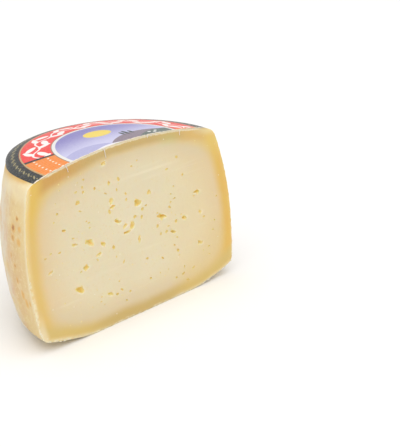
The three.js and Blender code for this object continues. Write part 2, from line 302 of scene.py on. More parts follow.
def colour(code):
    """Linear colour of a six-digit sRGB code"""
    parts = [int(code[i:i + 2], 16) / 255 for i in (0, 2, 4)]
    linear = [p / 12.92 if p <= 0.04045 else ((p + 0.055) / 1.055) ** 2.4 for p in parts]
    return (*linear, 1.0)


class Material:
    """A node material with short names for the few kinds of node that it is built from"""

    def __init__(self, name, roughness=0.5, specular=0.5, subsurface=0.0, subsurface_scale=0.002):
        self.material = bpy.data.materials.new(name)
        self.material.use_nodes = True
        self.tree = self.material.node_tree
        self.shader = self.tree.nodes["Principled BSDF"]
        self.shader.inputs["Roughness"].default_value = roughness
        self.shader.inputs["Specular IOR Level"].default_value = specular
        if subsurface:
            self.shader.inputs["Subsurface Weight"].default_value = subsurface
            self.shader.inputs["Subsurface Scale"].default_value = subsurface_scale
            self.shader.inputs["Subsurface Radius"].default_value = (1.0, 0.62, 0.3)
        place = self.tree.nodes.new("ShaderNodeTexCoord").outputs["Object"]
        scale = self.tree.nodes.new("ShaderNodeVectorMath")
        scale.operation = "SCALE"
        scale.inputs["Scale"].default_value = 1 / MM
        self.link(place, scale.inputs[0])
        self.place = scale.outputs[0]
        self.x, self.y, self.z = self.split(self.place)

    def link(self, source, socket):
        if isinstance(source, (int, float, tuple)):
            socket.default_value = source
        else:
            self.tree.links.new(source, socket)

    def split(self, vector):
        node = self.tree.nodes.new("ShaderNodeSeparateXYZ")
        self.link(vector, node.inputs[0])
        return node.outputs

    def math(self, operation, *values):
        node = self.tree.nodes.new("ShaderNodeMath")
        node.operation = operation
        for value, socket in zip(values, node.inputs):
            self.link(value, socket)
        return node.outputs[0]

    def add(self, a, b):
        return self.math("ADD", a, b)

    def sub(self, a, b):
        return self.math("SUBTRACT", a, b)

    def mul(self, a, b):
        return self.math("MULTIPLY", a, b)

    def length(self, a, b):
        return self.math("SQRT", self.add(self.mul(a, a), self.mul(b, b)))

    def smooth(self, value, low, high):
        """0 below low, 1 above high, and smooth between them"""
        node = self.tree.nodes.new("ShaderNodeMapRange")
        node.interpolation_type = "SMOOTHSTEP"
        node.inputs["From Min"].default_value = min(low, high)
        node.inputs["From Max"].default_value = max(low, high)
        node.inputs["To Min"].default_value = 0.0 if low < high else 1.0
        node.inputs["To Max"].default_value = 1.0 if low < high else 0.0
        self.link(value, node.inputs["Value"])
        return node.outputs["Result"]

    def blended_least(self, *distances):
        """Near the least of the distances, and less where two are small, so that a band widens in corners"""
        power = CORNER_BLEND["power"]
        total = 0.0
        for distance in distances:
            distance = self.math("MAXIMUM", distance, CORNER_BLEND["least"])
            total = self.add(total, self.math("POWER", distance, -power))
        return self.mul(self.math("POWER", total, -1 / power), CORNER_BLEND["gain"])

    def band(self, value, low, high, soft):
        """1 between low and high"""
        above_low = self.smooth(value, low - soft, low + soft)
        below_high = self.smooth(value, high + soft, high - soft)
        return self.mul(above_low, below_high)

    def mix(self, share, a, b):
        node = self.tree.nodes.new("ShaderNodeMix")
        node.data_type = "RGBA"
        self.link(share, node.inputs["Factor"])
        self.link(a, node.inputs["A"])
        self.link(b, node.inputs["B"])
        return node.outputs["Result"]

    def over(self, base, code, *shares):
        """A colour laid over the base by the product of the shares"""
        share = shares[0]
        for other in shares[1:]:
            share = self.mul(share, other)
        return self.mix(share, base, colour(code))

    def attribute(self, name):
        node = self.tree.nodes.new("ShaderNodeAttribute")
        node.attribute_name = name
        return node

    def scaled_place(self, size, stretch):
        """The place in units of that size, which may be stretched along an axis"""
        mapping = self.tree.nodes.new("ShaderNodeMapping")
        mapping.inputs["Scale"].default_value = tuple(1 / (size * s) for s in stretch)
        self.link(self.place, mapping.inputs["Vector"])
        return mapping.outputs[0]

    def noise(self, size, detail=2.0, roughness=0.5, stretch=(1, 1, 1)):
        """Noise from 0 to 1 with features of about that size in millimetres"""
        node = self.tree.nodes.new("ShaderNodeTexNoise")
        node.inputs["Scale"].default_value = 1.0
        node.inputs["Detail"].default_value = detail
        node.inputs["Roughness"].default_value = roughness
        self.link(self.scaled_place(size, stretch), node.inputs["Vector"])
        return node.outputs["Fac"]

    def spots(self, spacing, radius, share, stretch=(1, 1, 1)):
        """1 in loose round spots of about that radius, in that share of the places where one may be"""
        node = self.tree.nodes.new("ShaderNodeTexVoronoi")
        node.inputs["Scale"].default_value = 1.0
        self.link(self.scaled_place(spacing, stretch), node.inputs["Vector"])
        uneven = self.mul(self.sub(self.noise(radius, 1), 0.5), 0.8 * radius)
        distance = self.add(self.mul(node.outputs["Distance"], spacing), uneven)
        near = self.smooth(distance, radius * 1.25, radius * 0.7)
        chance = self.split(node.outputs["Color"])[0]
        return self.mul(near, self.smooth(chance, share + 0.01, share - 0.01))

    def bump(self, height, distance):
        node = self.tree.nodes.new("ShaderNodeBump")
        node.inputs["Distance"].default_value = distance * MM
        self.link(height, node.inputs["Height"])
        self.link(node.outputs[0], self.shader.inputs["Normal"])

    def finish(self, base, roughness=None):
        self.link(base, self.shader.inputs["Base Color"])
        if roughness is not None:
            self.link(roughness, self.shader.inputs["Roughness"])
        return self.material


def paste_material(name, golds=()):
    """Cut cheese: cream in the middle and a dried golden band under the rind. In the eyes it is golden,
    from the first of the golds near the face to the last one deep inside"""
    m = Material(name, roughness=0.5, specular=0.35, subsurface=0.45, subsurface_scale=0.003)
    wander = m.mul(m.sub(m.noise(16, 2), 0.5), 2.5)
    to_side, to_top, to_bottom = m.split(m.attribute("to_rind").outputs["Vector"])
    side, top, bottom = (m.add(d, wander) for d in (to_side, to_top, to_bottom))
    left = m.smooth(m.x, 12, -12)
    right = m.smooth(m.x, 18, 36)
    far_left = m.smooth(m.x, -24, -44)
    outer = m.smooth(m.math("ABSOLUTE", m.x), 14, 36)
    top = m.mul(top, m.sub(1.34, m.mul(outer, 0.3)))

    middle = m.mix(m.noise(26, 3), colour("E1D3AF"), colour("E7DCBD"))
    middle = m.over(middle, "E8D19C", m.smooth(m.x, 0, 50), 0.5)
    middle = m.over(middle, "E3D2AA", m.smooth(m.noise(1.1, 2), 0.55, 0.8))
    nearest = m.blended_least(side, top, bottom)
    warm = m.mix(m.smooth(m.math("MINIMUM", top, bottom), 22, 9), colour("E3CBA0"), colour("DDCBA6"))
    warm = m.over(warm, "E1C994", right, m.smooth(m.z, 44, 20))
    warm = m.mix(m.smooth(nearest, 19, 6), middle, warm)

    gold = m.mix(left, colour("E3BB60"), colour("E2C174"))
    gold = m.over(gold, "E4C062", left, m.smooth(m.z, 54, 72))
    gold = m.over(gold, "E4C56E", right, m.smooth(m.z, 60, 76))
    tan = m.mix(right, m.mix(far_left, colour("CDB072"), colour("D3A55C")), colour("DEBA73"))
    khaki = m.mix(outer, colour("D0B472"), colour("DABE75"))
    gold = m.mix(m.mul(m.smooth(top, 9, 4.5), m.smooth(side, 4, 10)), gold, tan)
    gold = m.mix(m.smooth(bottom, 12, 5), gold, khaki)
    base = m.mix(m.smooth(nearest, 9.2, 3.6), warm, gold)

    stain = m.mul(m.band(m.x, 15, 24, 5), m.band(top, 2, 9, 2))
    base = m.over(base, "C8CC84", stain, 0.3)
    strength = m.add(0.3, m.mul(0.25, m.math("MAXIMUM", m.smooth(m.z, 34, 14), m.smooth(m.z, 66, 76))))
    pale = m.mul(m.smooth(to_side, 3.0, 0.3), m.add(m.mul(left, strength), 0.1))
    pale = m.math("MAXIMUM", pale, m.mul(m.smooth(bottom, 2.8, 0.3), m.add(m.mul(outer, 0.5), 0.1)))
    corner = m.mul(m.mul(m.smooth(m.z, 26, 8), left), m.smooth(side, 4.5, 1.5))
    far_corner = m.mul(m.smooth(m.x, 32, 46), m.smooth(top, 4.5, 0.8))
    pale = m.math("MAXIMUM", pale, m.mul(far_corner, 0.55))
    base = m.over(base, "ECDDB6", m.math("MAXIMUM", pale, m.mul(corner, 0.85)))
    fray = m.add(to_top, m.mul(m.sub(m.noise(1.6, 3, 0.7), 0.5), 1.6))
    fringe = m.mul(m.smooth(fray, 1.15, 0.5), m.smooth(m.math("ABSOLUTE", m.add(m.x, 6)), 49, 43))
    base = m.over(base, "F6E8CA", fringe, 0.75)
    low_edge = m.mul(m.smooth(m.math("MINIMUM", side, bottom), 1.5, 0.3), m.smooth(m.z, 50, 24))
    base = m.over(base, "F0E6C8", low_edge, m.mul(m.smooth(m.noise(2.5, 2), 0.35, 0.6), 0.7))
    base = m.over(base, "F6F0E0", m.spots(4, 0.3, 0.3), 0.6)

    drag = m.noise(2.4, 2, stretch=(14, 1, 1))
    dragged = m.mul(m.smooth(drag, 0.6, 0.85), m.mul(m.smooth(nearest, 6, 12), 0.3))
    base = m.over(base, "EFE5C8", dragged)
    # Painted highlight: a paler colour on the raised lips at the lower right of the larger eyes, where they
    # catch the light.
    base = m.over(base, "F4ECD2", m.attribute("lip_painted_highlight").outputs["Fac"], 0.55)
    above_line = m.sub(m.z, m.add(70.8, m.mul(m.sub(m.noise(12, 1), 0.5), 0.8)))
    line = m.mul(m.smooth(m.math("ABSOLUTE", above_line), 1.1, 0.2), m.band(m.x, -20, 22, 9))
    line = m.mul(line, m.smooth(m.noise(9, 2), 0.2, 0.5))
    base = m.over(base, "F3E8CB", line, m.add(0.15, m.mul(m.smooth(m.x, -10, 4), 0.22)))
    # The golds in the eyes are partly the cheese's gold and partly painted light: where a gold is lighter
    # deeper in, it offsets the shade inside the hollow.
    if golds:
        depth = m.attribute("eye_depth").outputs["Fac"]
        near, inner, deep = (colour(code) for code in golds)
        gold = m.mix(m.smooth(depth, 0.2, 1.1), near, inner)
        gold = m.mix(m.smooth(depth, 1.0, 1.9), gold, deep)
        base = m.mix(m.add(m.mul(m.smooth(depth, 0.0, 0.3), 0.4), 0.6), base, gold)
    grain = m.add(m.mul(m.noise(0.9, 3), 0.6), m.mul(m.noise(5, 2), 0.8))
    m.bump(m.add(grain, m.mul(drag, 0.5)), 0.12)
    return m.finish(base, m.add(0.42, m.mul(m.noise(4, 2), 0.2)))


def rind_material():
    """Pale rind, mottled tan with faint upright streaks and a few brown spots, with painted shade low down
    and a painted sheen further behind the cut
    """
    m = Material("rind", roughness=0.5, specular=0.5, subsurface=0.12, subsurface_scale=0.0015)
    low = m.smooth(m.z, 80, 50)
    base = m.mix(low, colour("E9D094"), colour("DFC182"))
    # Painted shade: the rind darkens towards the underside, where it meets the floor.
    base = m.over(base, "D9BD80", m.smooth(m.z, 24, 6))
    base = m.over(base, "D8B27F", m.smooth(m.noise(14, 3, 0.6), 0.42, 0.66), 0.65)
    base = m.over(base, "EDDBAE", m.smooth(m.noise(6, 2), 0.5, 0.72), 0.4)
    streaks = m.noise(2.2, 3, 0.6, stretch=(1, 1, 5))
    base = m.over(base, "CDA26E", m.smooth(streaks, 0.5, 0.75), 0.35)
    base = m.over(base, "F0E2B9", m.smooth(m.noise(1.3, 3, 0.6), 0.5, 0.72), 0.4)
    flecks = m.mul(m.spots(1.7, 0.32, 0.5, (1, 1, 1.5)), m.smooth(m.noise(8, 2), 0.4, 0.6))
    base = m.over(base, "CFA36C", flecks, 0.45)
    # Painted sheen: the rind turns greyer further behind the cut, a painted reflection of the white
    # surroundings at grazing angles.
    painted_sheen = m.mul(m.smooth(m.y, CUT_Y + 11, CUT_Y + 24), m.smooth(m.noise(9, 3), 0.3, 0.6))
    base = m.over(base, "E2D8C6", painted_sheen, 0.75)
    zone = m.mul(m.band(m.z, 12, 66, 8), m.smooth(m.y, CUT_Y + 1.5, CUT_Y + 4))
    blush = m.mul(m.smooth(m.noise(5, 3, 0.6, (1, 1, 1.6)), 0.5, 0.7), zone)
    base = m.over(base, "D8A87B", blush, 0.45)
    scattered = m.mul(zone, m.smooth(m.x, -50, -40))
    base = m.over(base, "E6B96C", m.spots(7, 1.7, 0.45, (1, 1, 1.7)), m.mul(scattered, 0.5))
    base = m.over(base, "C18A4A", m.spots(7, 0.8, 0.45, (1, 1, 1.7)), m.mul(scattered, 0.75))
    base = m.over(base, "D29B5E", m.spots(3.4, 0.5, 0.4, (1, 1, 1.7)), m.mul(zone, 0.5))
    base = m.over(base, "E9D29A", m.smooth(m.y, CUT_Y + 12, CUT_Y + 2), 0.5)
    on_left = m.smooth(m.x, -40, -50)
    ragged = m.mul(m.sub(m.noise(0.9, 2), 0.5), 1.6)
    for behind, height, wide, tall, brown in RIND_SPOTS:
        along = m.mul(m.sub(m.y, CUT_Y + behind), 1 / wide)
        above = m.mul(m.sub(m.z, height), 1 / tall)
        far = m.add(m.length(along, above), ragged)
        base = m.over(base, "E4AE50", m.smooth(far, 2.2, 0.6), m.mul(on_left, 0.75))
        base = m.over(base, "B5733C", m.smooth(far, 1.2, 0.5), m.mul(on_left, brown))
    base = m.over(base, "F5E7C0", m.smooth(m.z, 71, 76.5), 0.5)
    base = m.over(base, "EBDDB4", m.smooth(m.z, 10, 4), 0.4)
    rim = m.mul(m.smooth(m.y, CUT_Y + 2.6, CUT_Y + 0.4), m.add(0.3, m.mul(m.smooth(m.z, 16, 34), 0.3)))
    base = m.over(base, "F2E8C8", rim)
    reach = m.length(m.sub(m.x, LABEL_X), m.sub(m.y, LABEL_Y))
    # A darker golden band on the rind just outside the label's edge, high up and near the cut.
    label_edge_gold = m.mul(m.smooth(reach, LABEL_RADIUS + 2.5, LABEL_RADIUS + 0.5), m.smooth(m.z, 60, 78))
    label_edge_gold = m.mul(label_edge_gold, m.smooth(m.y, CUT_Y, CUT_Y + 7))
    base = m.over(base, "DBAE5C", label_edge_gold, 0.85)
    relief = m.add(m.mul(m.noise(1.3, 3, 0.6), 0.5), m.mul(streaks, 0.4))
    m.bump(relief, 0.22)
    return m.finish(base, m.add(0.4, m.mul(m.noise(6, 2), 0.25)))


def label_material():
    """Printed paper: a charcoal ring with a gold rope, a red band with a leaf scroll, an orange field
    with rays, and hills under a round sun in the middle"""
    m = Material("printed_paper", roughness=0.4, specular=0.4)
    across, back, _ = m.split(m.attribute("print_place").outputs["Vector"])
    reach = m.length(across, back)
    turn = m.mul(m.math("ARCTAN2", back, across), 180 / math.pi)
    soft = 0.12

    def oval(x, y, wide, tall, slant=0):
        cos, sin = math.cos(math.radians(slant)), math.sin(math.radians(slant))
        along = m.add(m.mul(x, cos / wide), m.mul(y, sin / wide))
        beside = m.sub(m.mul(y, cos / tall), m.mul(x, sin / tall))
        far = m.length(along, beside)
        edge = soft / min(wide, tall)
        return m.smooth(far, 1 + edge, 1 - edge)

    def oval_at(x, y, wide, tall):
        return oval(m.sub(across, x), m.sub(back, y), wide, tall)

    def repeated(count, middle, start, wide, tall, slant=0):
        """Ovals spaced evenly on a circle round the label's middle"""
        step = 360 / count
        local = m.sub(m.math("FLOORED_MODULO", m.add(turn, start), step), step / 2)
        return oval(m.mul(local, middle * math.pi / 180), m.sub(reach, middle), wide, tall, slant)

    def print_over(base, code, *shapes):
        for shape in shapes:
            base = m.mix(shape, base, colour(code))
        return base

    sky = m.mix(m.smooth(back, 0, 25), colour("D3D1EE"), colour("8A82C2"))
    lines = m.smooth(m.math("SINE", m.mul(back, 4.5)), 0.3, 0.9)
    sky = m.over(sky, "7E77B8", lines, m.mul(m.smooth(back, 8, 26), 0.35))
    picture = print_over(sky, "F4D75C", oval_at(-1, 16.5, 7.0, 5.0))
    picture = print_over(picture, "B5B3DB", oval_at(-20, -17, 22, 23))
    picture = print_over(picture, "8E7F8C", oval_at(13, -14, 26, 21))
    furrows = m.smooth(m.math("SINE", m.mul(m.add(across, m.mul(back, 0.6)), 2.0)), 0, 0.6)
    field = m.mix(furrows, colour("6F7B72"), colour("4F5C57"))
    picture = m.mix(oval_at(25, -15, 22, 19.5), picture, field)
    picture = print_over(picture, "EFEDF4", oval_at(-9, -19, 19, 19.2))
    picture = print_over(
        picture, "3F4744",
        oval_at(6.0, 7.6, 0.8, 2.3), oval_at(8.3, 7.9, 0.9, 3.0), oval_at(11.0, 7.4, 0.8, 2.2),
    )
    picture = print_over(
        picture, "FBFAF8",
        oval_at(17.5, 2.0, 1.0, 0.6), oval_at(20.0, 0.9, 1.0, 0.6), oval_at(21.6, 2.4, 0.9, 0.55),
    )

    rays = m.smooth(m.math("SINE", m.mul(turn, 2.6)), 0.1, 0.7)
    orange = m.mix(m.mul(rays, 0.6), colour("F59038"), colour("E87A28"))
    orange = print_over(orange, "FFF1DC", repeated(90, 35.0, 0, 0.5, 0.5), repeated(90, 40.8, 2, 0.5, 0.5))
    stem = m.sub(reach, m.add(37.8, m.mul(m.math("SINE", m.mul(turn, math.pi / 12)), 1.7)))
    red = print_over(
        colour("F2443D"), "FFF6F0",
        m.band(stem, -0.45, 0.45, 0.15),
        repeated(15, 40.2, 18, 3.5, 1.5, 28),
        repeated(15, 40.8, 10, 3.0, 1.3, -40),
        repeated(15, 35.3, 6, 3.5, 1.5, -28),
        repeated(15, 34.8, 22, 3.0, 1.3, 40),
        repeated(15, 42.7, 14, 0.8, 0.8),
        repeated(15, 32.9, 2, 0.8, 0.8),
    )
    ring = m.mix(m.band(turn, 0, 158, 0.2), orange, red)
    ring = m.over(ring, "2B2D2B", m.band(turn, 156.2, 159, 0.1))
    charcoal = print_over(
        colour("2B2D2B"), "9E9268", repeated(72, 47.9, 0, 1.5, 0.42, 32), repeated(72, 47.9, 2.5, 0.4, 0.4)
    )
    base = m.mix(m.smooth(reach, 31 - soft, 31 + soft), colour("EAE9E5"), ring)
    base = m.mix(m.smooth(reach, 29.4 + soft, 29.4 - soft), base, picture)
    base = m.over(base, "8E8468", m.band(reach, 31.0, 31.4, soft))
    base = m.mix(m.smooth(reach, 45.2 - soft, 45.2 + soft), base, charcoal)
    base = m.over(base, "B7A878", m.band(reach, 44.5, 45.1, soft))
    frayed = m.add(m.sub(m.y, CUT_Y), m.mul(m.sub(m.noise(1.4, 3, 0.7), 0.5), 2.6))
    base = m.over(base, "F3E6CE", m.smooth(frayed, 0.8, 0.4))
    base = m.over(base, "FFFFFF", m.smooth(m.noise(0.8, 3, 0.7), 0.45, 0.7), 0.1)
    m.bump(m.add(m.mul(m.noise(0.5, 2), 0.3), m.noise(9, 2)), 0.1)
    return m.finish(base, m.add(0.3, m.mul(m.noise(5, 2), 0.12)))


def plain_material(name, first, second, size):
    m = Material(name, roughness=0.6, specular=0.3)
    m.bump(m.noise(size / 2, 2), 0.1)
    return m.finish(m.mix(m.noise(size, 2), colour(first), colour(second)))


def swell(turn, height):
    """Shallow swells of the side, which fade out towards the top and the underside"""
    fade = np.maximum(0, 1 - (height / SIDE_HALF_HEIGHT) ** SWELL_FADE)
    total = sum(
        s["rise"] * np.sin(s["lobes"] * turn + s["twist"] * height + s["start"]) for s in RIND_SWELLS
    )
    return fade * total


def drawn_in(turn):
    """How far the upper rim is drawn in where its shoulder is soft"""
    away = (turn - SOFT_SHOULDER["at"]) / SOFT_SHOULDER["spread"]
    return SOFT_SHOULDER["inward"] * np.exp(-(away ** 2))


def wheel(u, v, turn):
    """Points of the wheel for a share u of its radius, a share v of its side height and a turn"""
    top = TOP_DOME * (1 - u * u)
    bottom = np.minimum(BOTTOM_DOME * (1 - u * u), BOTTOM_DOME - PRESSED_FLAT)
    height = SIDE_HALF_HEIGHT * v + np.where(v > 0, top, -bottom) * np.abs(v)
    soft = drawn_in(turn) * np.maximum(v, 0) ** SOFT_SHOULDER["fade"]
    reach = u * (WHEEL_RADIUS - SIDE_TAPER * v - SIDE_BULGE * v * v - soft + swell(turn, height))
    x = reach * np.cos(turn) - LEAN * height
    y = DEPTH_RATIO * reach * np.sin(turn)
    return np.stack(np.broadcast_arrays(x, y, height - UNDERSIDE), -1)


def on_superellipse(u, v):
    """Moves points of a square so that its border becomes the wheel's rounded outline"""
    size = np.maximum(np.abs(u), np.abs(v))
    sharpness = np.where(v > 0, UPPER_SHARPNESS, LOWER_SHARPNESS)
    power = (np.abs(u) ** sharpness + np.abs(v) ** sharpness) ** (1 / sharpness)
    share = np.where(power > 0, size / np.maximum(power, 1e-9), 1.0)
    return u * share, v * share


def noise_at(points, size, seed):
    """Smooth noise from -1 to 1 at each point"""
    shift = Vector((seed * 17.3, seed * 5.1, seed * 9.7))
    return np.array([noise.noise(Vector(p) / size + shift) for p in points])


def turned(x, z, angle):
    """Places on the face turned about the origin"""
    cos, sin = math.cos(angle), math.sin(angle)
    return x * cos - z * sin, x * sin + z * cos


def random_source(seed):
    """Repeatable random numbers from 0 to 1, by a linear congruential rule"""
    state = seed
    while True:
        state = (state * 1664525 + 1013904223) % 2 ** 32
        yield state / 2 ** 32


def pinholes():
    """Pinholes scattered over the middle of the face, clear of the eyes and of each other"""
    random = random_source(EYE_SEED + 2)
    least, most = PINHOLE_WIDTH
    field = PINHOLE_FIELD
    holes = []
    while len(holes) < PINHOLES:
        width = least + (most - least) * next(random)
        across = field["across"] * (2 * next(random) - 1)
        up = field["bottom"] + (field["top"] - field["bottom"]) * next(random)
        tall = width * (0.5 + 0.5 * next(random))
        slant = 60 * next(random) - 50
        if all(
            math.hypot(x - across, z - up) > (max(w, t) + max(width, tall)) / 2 + PINHOLE_SPACING
            for x, z, w, t, _ in DEEP_EYES + SHALLOW_EYES + holes
        ):
            holes.append((across, up, width, tall, slant))
    return holes


def mesh_object(name, points, faces, materials, material_indices=None):
    mesh = bpy.data.meshes.new(name)
    mesh.from_pydata([tuple(p) for p in np.asarray(points) * MM], [], faces)
    for material in materials:
        mesh.materials.append(material)
    if material_indices is not None:
        mesh.polygons.foreach_set("material_index", material_indices)
    mesh.polygons.foreach_set("use_smooth", [True] * len(mesh.polygons))
    mesh.update()
    piece = bpy.data.objects.new(name, mesh)
    bpy.context.scene.collection.objects.link(piece)
    return piece


def ball(subdivisions):
    """Corners and triangles of a ball of radius 1 made from an icosahedron"""
    build = bmesh.new()
    bmesh.ops.create_icosphere(build, subdivisions=subdivisions, radius=1.0)
    points = np.array([v.co[:] for v in build.verts])
    faces = [[v.index for v in f.verts] for f in build.faces]
    build.free()
    return points, faces


def torn_ball(subdivisions, random, seed):
    """A ball with a few blunt flats, as the gap between curds has"""
    points, faces = ball(subdivisions)
    fullness = np.full(len(points), 0.6)
    for _ in range(TORN_FLATS):
        flat = np.array([2 * next(random) - 1, 0.6 * (2 * next(random) - 1), 2 * next(random) - 1])
        flat /= max(np.linalg.norm(flat), 0.1)
        fullness += (np.maximum(points @ flat, 0) / (0.68 + 0.5 * next(random))) ** TORN_POWER
    uneven = 1 + TORN_NOISE["rise"] * noise_at(points, TORN_NOISE["size"], seed)
    points = points * (fullness ** (-1 / TORN_POWER) * uneven)[:, None]
    return points, faces


def side_lobes(eyes, seed):
    """Smaller hollows at the border of each of the larger eyes, which make its outline uneven"""
    random = random_source(seed)
    lobes = []
    for across, up, wide, tall, slant in eyes:
        if max(wide, tall) < BIG_EYE:
            continue
        start = 360 * next(random)
        for turn in (start, start + 100 + 120 * next(random)):
            size = (0.35 + 0.3 * next(random)) * math.sqrt(wide * tall) + 0.3
            x = LOBE_REACH * wide * math.cos(math.radians(turn))
            z = LOBE_REACH * tall * math.sin(math.radians(turn))
            dx, dz = turned(x, z, math.radians(slant))
            lobes.append((across + dx, up + dz, size, 0.75 * size, 180 * next(random)))
    return lobes


def all_eyes():
    """Every eye of the look, with its share of the usual depth and the slot of its wall's material"""
    groups = (
        (DEEP_EYES, 1.0, SMALL_EYE_SLOT),
        (side_lobes(DEEP_EYES, EYE_SEED), 0.8, EYE_SLOT),
        (SHALLOW_EYES, 0.7, SMALL_EYE_SLOT),
        (side_lobes(SHALLOW_EYES, EYE_SEED + 1), 0.5, EYE_SLOT),
        (pinholes(), 0.5, EYE_SLOT),
    )
    return [
        (*eye, share, small_slot if max(eye[2:4]) < BIG_EYE else EYE_SLOT)
        for eyes, share, small_slot in groups
        for eye in eyes
    ]


def are_apart(eye, other):
    gap = math.hypot(eye[0] - other[0], eye[1] - other[1])
    return gap > EYE_CLEARANCE["share"] * (max(eye[2:4]) + max(other[2:4])) + EYE_CLEARANCE["extra"]


def batches_of(eyes):
    """The eyes in batches whose hollows don't touch"""
    batches = []
    for eye in eyes:
        for batch in batches:
            if all(are_apart(eye, other) for other in batch):
                batch.append(eye)
                break
        else:
            batches.append([eye])
    return batches


def eye_cutter(name, eyes, seed, materials):
    """Uneven bowls that open on the cut face; their walls have one of the last two materials"""
    random = random_source(seed)
    points, faces, walls = [], [], []
    for number, (across, up, wide, tall, slant, share, slot) in enumerate(eyes):
        shape, shape_faces = torn_ball(3 if max(wide, tall) > FINE_EYE else 2, random, seed + number)
        depth = EYE_DEPTH * (wide + tall) / 2 * (0.7 + 0.3 * next(random)) * share
        bowl = np.sign(shape[:, 1]) * np.abs(shape[:, 1]) ** EYE_BOWL
        y = CUT_Y + FACE_SETBACK + depth * (bowl - EYE_FORWARD)
        x, z = turned(shape[:, 0] * wide * EYE_REACH, shape[:, 2] * tall * EYE_REACH, math.radians(slant))
        faces += [[i + len(points) for i in f] for f in shape_faces]
        points += list(np.stack([across + x, y, up + z], -1))
        walls += [slot] * len(shape_faces)
    return mesh_object(name, points, faces, materials, walls)


def eye_lips(x, z):
    """How much the curd stands up beside the larger eyes, from 0 to 1"""
    height = np.zeros(len(x))
    for across, up, wide, tall, slant in DEEP_EYES + SHALLOW_EYES:
        if max(wide, tall) < BIG_EYE:
            continue
        dx, dz = x - across, z - up
        along, beside = turned(dx, dz, -math.radians(slant))
        gap = (np.hypot(along / (wide / 2), beside / (tall / 2)) - 1) * (wide + tall) / 4
        below = (0.45 * dx - 0.9 * dz) / np.maximum(np.hypot(dx, dz), 0.1)
        height = np.maximum(height, np.exp(-(gap / LIP_WIDTH) ** 2) * np.clip(0.3 + 0.7 * below, 0, 1))
    return height


def cheese_mesh(materials):
    u, v = np.meshgrid(np.linspace(-1, 1, FACE_COLUMNS + 1), np.linspace(-1, 1, FACE_ROWS + 1))
    u, v = on_superellipse(u, v)
    face = wheel(np.abs(u), v, np.where(u < 0, math.pi, 0.0))
    rows, columns = u.shape
    number = np.arange(rows * columns).reshape(rows, columns)
    middle = FACE_COLUMNS // 2

    # The right half of the face's border, from the middle of the underside to the middle of the top
    border = [(0, i) for i in range(middle, columns)]
    border += [(j, columns - 1) for j in range(1, rows)]
    border += [(rows - 1, i) for i in range(columns - 2, middle - 1, -1)]
    rings = border[::2]
    ring_u = np.array([u[p] for p in rings])
    ring_v = np.array([v[p] for p in rings])
    turns = np.linspace(0, math.pi, RIND_TURNS + 1)[1:-1]
    side = wheel(ring_u[1:-1, None], ring_v[1:-1, None], turns[None])
    start = rows * columns
    side_number = start + np.arange(side.shape[0] * side.shape[1]).reshape(side.shape[:2])

    points = np.concatenate([face.reshape(-1, 3), side.reshape(-1, 3)])
    depth = points[:, 1].max()
    setback = FACE_SETBACK + EDGE_ROUNDING
    y = setback + points[:, 1] * (1 - setback / depth)
    inside = np.zeros(len(points), bool)
    inside[number[1:-1, 1:-1].ravel()] = True
    flat = points[:start]
    relief = sum(noise_at(flat, size, seed) * rise for size, rise, seed in FACE_RELIEF)
    relief -= LIP_HEIGHT * eye_lips(flat[:, 0] - MIDDLE_ACROSS, flat[:, 2])
    crumbling = EDGE_ROUNDING * CRUMBLING["share"] * noise_at(flat, CRUMBLING["size"], CRUMBLING["seed"])
    y[:start] = np.where(inside[:start], FACE_SETBACK + relief, y[:start] + crumbling)
    points[:, 1] = y

    faces = []
    for j in range(rows - 1):
        for i in range(columns - 1):
            faces.append([number[j, i], number[j, i + 1], number[j + 1, i + 1], number[j + 1, i]])
    face_count = len(faces)

    def ring_points(k):
        """Numbers of the points of ring k between the two borders"""
        if k in (0, len(rings) - 1):
            return [number[rings[k]]] * side.shape[1]
        return list(side_number[k - 1])

    for k in range(len(rings) - 1):
        low, high = ring_points(k), ring_points(k + 1)
        for a in range(side.shape[1] - 1):
            corners = [low[a], low[a + 1], high[a + 1], high[a]]
            faces.append([c for n, c in enumerate(corners) if c != corners[n - 1]])
        right = [number[border[2 * k + n]] for n in range(3)]
        left = [number[border[2 * k + n][0], columns - 1 - border[2 * k + n][1]] for n in range(3)]
        for (a, b, c), near, far, flip in ((right, low[0], high[0], False), (left, low[-1], high[-1], True)):
            for corners in ([a, near, b], [near, far, b], [b, far, c]):
                if len(set(corners)) == 3:
                    faces.append(corners[::-1] if flip else corners)
    indices = [CUT_SLOT] * face_count + [RIND_SLOT] * (len(faces) - face_count)

    # The middle of the wheel's outer sizes lies over the origin.
    points[:, 0] -= MIDDLE_ACROSS
    points[:, 1] += CUT_Y
    points = rough_rind(points, start)
    return mesh_object("cheese_half", points, faces, materials, indices)


def rough_rind(points, start):
    """Small dents of the rind, along its outward direction, none under the label or the piece"""
    side = points[start:]
    axis_x = -LEAN * (side[:, 2] + UNDERSIDE) - MIDDLE_ACROSS
    outward = np.stack([side[:, 0] - axis_x, side[:, 1] - CUT_Y, np.zeros(len(side))], -1)
    outward /= np.maximum(np.linalg.norm(outward, axis=1), 1e-6)[:, None]
    dents = sum(depth * noise_at(side * shrink, size, seed) for size, depth, seed, shrink in RIND_DENTS)
    height = side[:, 2] + UNDERSIDE
    from_rim = np.clip((SIDE_HALF_HEIGHT - np.abs(height)) / DENT_FADE["rim"], 0, 1)
    from_cut = np.clip((side[:, 1] - CUT_Y - DENT_FADE["cut_margin"]) / DENT_FADE["cut"], 0, 1)
    points[start:] += outward * ((dents - DENT_MIDDLE) * from_rim * from_cut)[:, None]
    return points


def cut_eyes(cheese, materials):
    for number, batch in enumerate(batches_of(all_eyes())):
        cutter = eye_cutter(f"eyes_{number}", batch, 100 * (number + 1), materials)
        cut = cheese.modifiers.new("eyes", "BOOLEAN")
        cut.operation = "DIFFERENCE"
        cut.solver = "MANIFOLD"
        cut.object = cutter
        apply_modifiers(cheese)
        bpy.data.objects.remove(cutter)


